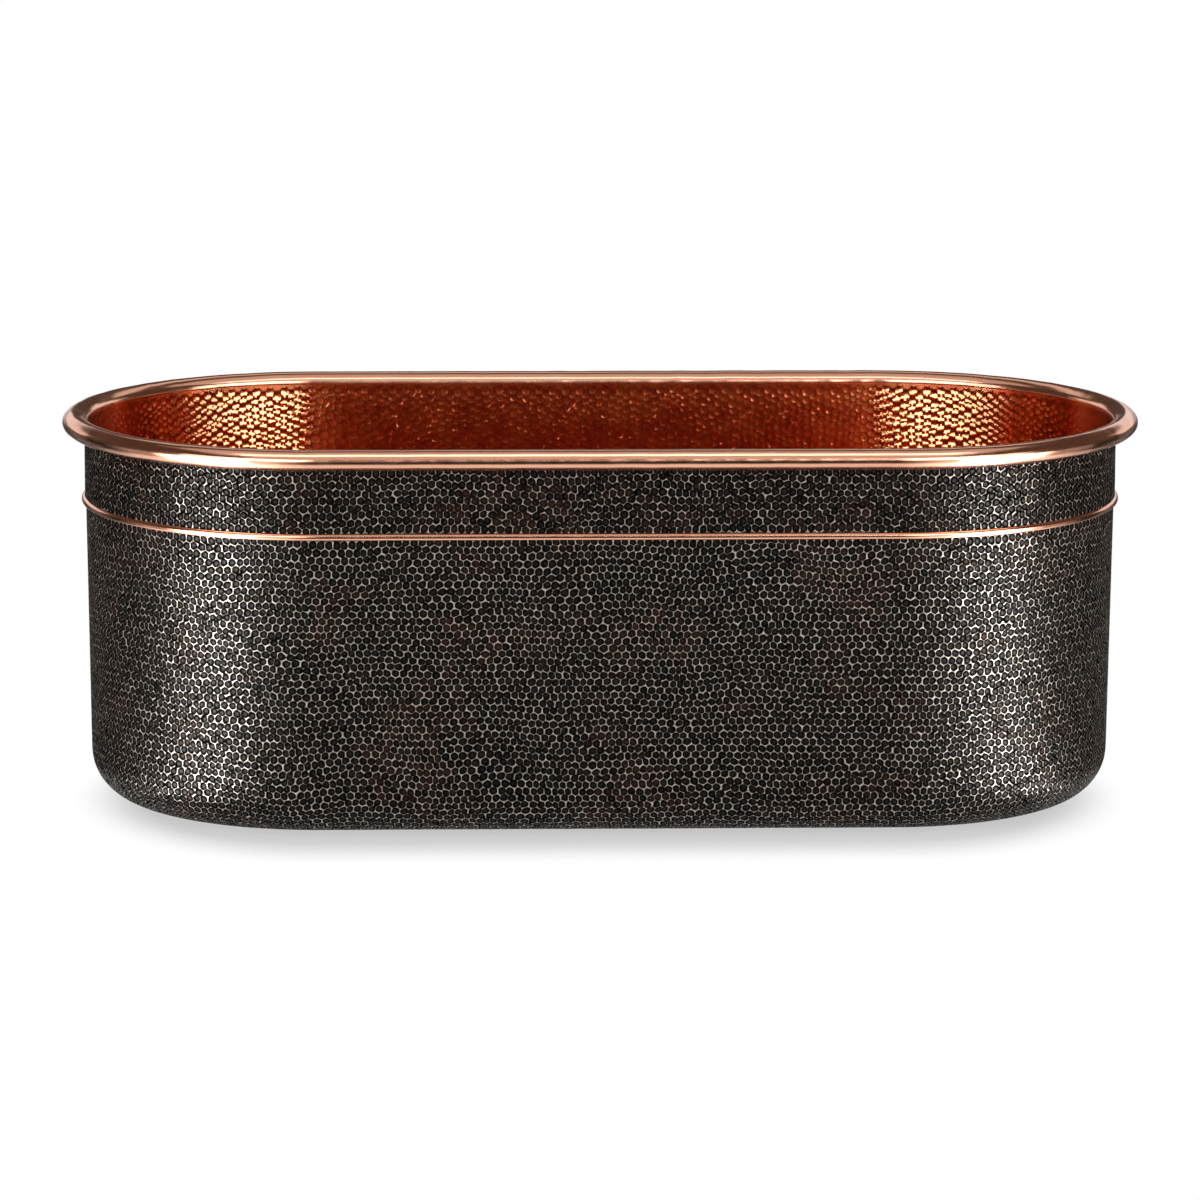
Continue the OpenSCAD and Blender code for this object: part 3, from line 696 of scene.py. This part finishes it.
def dress(materials):
    """Builds the pieces, puts them on the tub, and gives every CAD node its material."""
    skirt, collar, basin = make_skins()
    recess = waste_recess()
    rim = sweep("rolled_rim", rim_section(), wave=RIM_WAVE, seed=5)
    bead = sweep("round_bead", bead_section(), wave=BEAD_WAVE, seed=9)
    pieces = [
        (skirt, "patina_copper", ["outer_skirt"]),
        (collar, "patina_copper", ["collar_band"]),
        (basin, "liner_copper", ["inner_liner"]),
        (recess, "liner_copper", []),
        (rim, "polished_copper", ["rim_roll"]),
        (bead, "polished_copper", ["bead_band"]),
    ]
    for piece, slot, nodes in pieces:
        piece.data.materials.append(materials[slot])
        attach(piece, "tub")
        if nodes:
            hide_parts(*nodes)
    for part in frame["record"]["subparts"]:
        mesh = frame["nodes"][part["node"]].data
        mesh.materials.clear()
        mesh.materials.append(materials[part["material_slot"]])


def make_world():
    """White horizon and a dim, warm ceiling; camera and transmission rays see white everywhere."""
    world = bpy.data.worlds.new("studio")
    world.use_nodes = True
    bpy.context.scene.world = world
    nodes, links = world.node_tree.nodes, world.node_tree.links
    split = nodes.new("ShaderNodeSeparateXYZ")
    links.new(nodes.new("ShaderNodeTexCoord").outputs["Generated"], split.inputs[0])
    fade = nodes.new("ShaderNodeMapRange")
    fade.interpolation_type = "SMOOTHSTEP"
    links.new(split.outputs[2], fade.inputs[0])
    for socket, value in zip(range(1, 5), (BACKDROP_TOP, CEILING_START, 0.0, 1.0)):
        fade.inputs[socket].default_value = value
    path = nodes.new("ShaderNodeLightPath").outputs
    seen, kept = nodes.new("ShaderNodeMath"), nodes.new("ShaderNodeMath")
    seen.operation = "MAXIMUM"
    links.new(path["Is Camera Ray"], seen.inputs[0])
    links.new(path["Is Transmission Ray"], seen.inputs[1])
    kept.operation = "SUBTRACT"
    kept.use_clamp = True
    links.new(fade.outputs[0], kept.inputs[0])
    links.new(seen.outputs[0], kept.inputs[1])
    tint = nodes.new("ShaderNodeMix")
    tint.data_type = "RGBA"
    links.new(kept.outputs[0], tint.inputs["Factor"])
    tint.inputs[6].default_value = colour(1, 1, 1)
    tint.inputs[7].default_value = colour(*CEILING)
    links.new(tint.outputs[2], nodes["Background"].inputs["Color"])


def make_floor():
    """White floor with a grey patch under the tub, mostly drawn and partly the real shadow; clear from below."""
    bpy.ops.mesh.primitive_plane_add(size=FLOOR_SIZE)
    floor = bpy.context.object
    floor.name = "studio_floor"
    m = Nodes("studio_floor")
    nodes = m.tree.nodes
    nodes.remove(m.shader)
    output = nodes["Material Output"]
    path = m.add("ShaderNodeLightPath").outputs
    seen = m.math("MAXIMUM", path["Is Camera Ray"], path["Is Glossy Ray"])
    seen = m.math("MAXIMUM", seen, path["Is Transmission Ray"])
    axes = m.axes()
    beyond = m.past_straight(axes)
    place = m.add("ShaderNodeCombineXYZ", {0: m.math("MULTIPLY", beyond, SHADOW_SQUEEZE), 1: axes[1]}).outputs[0]
    away = m.add("ShaderNodeVectorMath", {0: place}, operation="LENGTH").outputs["Value"]
    near, far = collar_out + SHADOW_START, collar_out + SHADOW_END
    # Painted shadow: the floor's glow falls to FLOOR_GLOW near the tub.
    glow = m.add("ShaderNodeMapRange", {0: away, 1: near, 2: far, 3: FLOOR_GLOW, 4: 1.0},
                 interpolation_type="SMOOTHSTEP").outputs[0]
    white = m.add("ShaderNodeEmission", {"Color": colour(1, 1, 1), "Strength": glow})
    lit = m.math("MULTIPLY", m.math("SUBTRACT", 1.0, glow), FLOOR_CATCH)
    lit_colour = m.add("ShaderNodeCombineXYZ", {0: lit, 1: lit, 2: lit}).outputs[0]
    catch = m.add("ShaderNodeBsdfDiffuse", {"Color": lit_colour})
    both = m.add("ShaderNodeAddShader", {0: white.outputs[0], 1: catch.outputs[0]})
    plain = m.add("ShaderNodeBsdfDiffuse", {"Color": colour(0.8, 0.8, 0.8)})
    pick = m.add("ShaderNodeMixShader", {0: seen, 1: plain.outputs[0], 2: both.outputs[0]})
    clear = m.add("ShaderNodeBsdfTransparent")
    under = m.math("MULTIPLY", m.add("ShaderNodeNewGeometry").outputs["Backfacing"], path["Is Camera Ray"])
    sided = m.add("ShaderNodeMixShader", {0: under, 1: pick.outputs[0], 2: clear.outputs[0]})
    m.tree.links.new(sided.outputs[0], output.inputs["Surface"])
    floor.data.materials.append(m.material)


def soft_box(name, azimuth, distance, height, size, radiance, aim_height):
    """Soft light of even radiance at an azimuth from the front of the tub (+ to the right)."""
    light = bpy.data.lights.new(name, "AREA")
    light.shape = "RECTANGLE"
    light.size, light.size_y = size
    light.energy = radiance * math.pi * size[0] * size[1]
    lamp = bpy.data.objects.new(name, light)
    turn = math.radians(azimuth)
    lamp.location = (distance * math.sin(turn), -distance * math.cos(turn), height)
    aim = Vector((0, 0, aim_height)) - lamp.location
    lamp.rotation_euler = aim.to_track_quat("-Z", "Y").to_euler()
    lamp.visible_camera = False
    bpy.context.scene.collection.objects.link(lamp)


def lobe(m, value, middle, width, strength):
    """Soft-edged window round one angle."""
    off = m.math("ABSOLUTE", m.math("SUBTRACT", value, math.radians(middle)))
    return m.add("ShaderNodeMapRange", {0: off, 1: 0.0, 2: math.radians(width), 3: strength, 4: 0.0},
                 interpolation_type="SMOOTHSTEP").outputs[0]


def reflector_wall():
    """Tray and low wall of dark and light cards round the tub, seen only in reflections."""
    oval = Oval(WALL_RADIUS, WALL_PITCH)
    column = np.arange(oval.columns, dtype=float)
    spine, dx, dy = oval.at(column)
    rings = [np.stack([spine + radius * dx, radius * dy, 0 * dx + height], 1)
             for radius, height in ((TRAY_RADIUS, TRAY_HEIGHT), (WALL_RADIUS, TRAY_HEIGHT), (WALL_RADIUS, WALL_HEIGHT))]
    n = oval.columns
    i = np.arange(n)
    after = (i + 1) % n
    faces = np.concatenate([np.stack([k + i, k + n + i, k + n + after, k + after], 1) for k in (0, n)])
    wall = new_mesh("reflector_wall", np.concatenate(rings), faces, crease=math.radians(30))
    m = Nodes("reflector_wall")
    axes = m.axes()
    beyond = m.past_straight(axes)
    turn = m.math("ARCTAN2", beyond, m.math("MULTIPLY", axes[1], -1.0))
    glow = CARD_SHADE
    for middle, width, strength, lowest in LIGHT_CARDS:
        above = m.spread(axes[2], lowest - CARD_EDGE, lowest + CARD_EDGE)
        glow = m.math("ADD", m.math("MULTIPLY", lobe(m, turn, middle, width, strength), above), glow)
    facing = m.add("ShaderNodeLayerWeight", {"Blend": 0.5}).outputs["Facing"]
    steep = m.spread(facing, *TRAY_FACING, TRAY_GLOW, 0.0)
    on_tray = m.math("LESS_THAN", axes[2], 0.01)
    glow = m.math("ADD", glow, m.math("MULTIPLY", steep, on_tray))
    m.tree.nodes.remove(m.shader)
    card = m.add("ShaderNodeEmission", {"Color": colour(1, 1, 1), "Strength": glow})
    m.tree.links.new(card.outputs[0], m.tree.nodes["Material Output"].inputs["Surface"])
    wall.data.materials.append(m.material)
    wall.visible_camera = False
    wall.visible_diffuse = False
    wall.visible_shadow = False
    wall.visible_transmission = False


def make_camera():
    """Camera in front of the tub and a little to its left, looking down on it through a long lens."""
    data = bpy.data.cameras.new("camera")
    data.sensor_width = 36
    data.lens = CAMERA_LENS
    data.shift_x = CAMERA_SHIFT
    data.clip_end = 200
    camera = bpy.data.objects.new("camera", data)
    camera.location = CAMERA_PLACE
    camera.rotation_euler = Vector(CAMERA_VIEW).to_track_quat("-Z", "Y").to_euler()
    camera.rotation_euler.rotate_axis("Z", CAMERA_ROLL)
    bpy.context.scene.collection.objects.link(camera)
    bpy.context.scene.camera = camera


dress(make_materials())
make_world()
make_floor()
make_camera()
for name, azimuth, distance, height, width, depth, radiance, aim in LAMPS:
    if azimuth % 180:
        soft_box(f"{name}_left", -azimuth, distance, height, (width, depth), radiance, aim)
        soft_box(f"{name}_right", azimuth, distance, height, (width, depth), radiance, aim)
    else:
        soft_box(name, azimuth, distance, height, (width, depth), radiance, aim)
reflector_wall()
bpy.context.scene.view_settings.view_transform = "Standard"
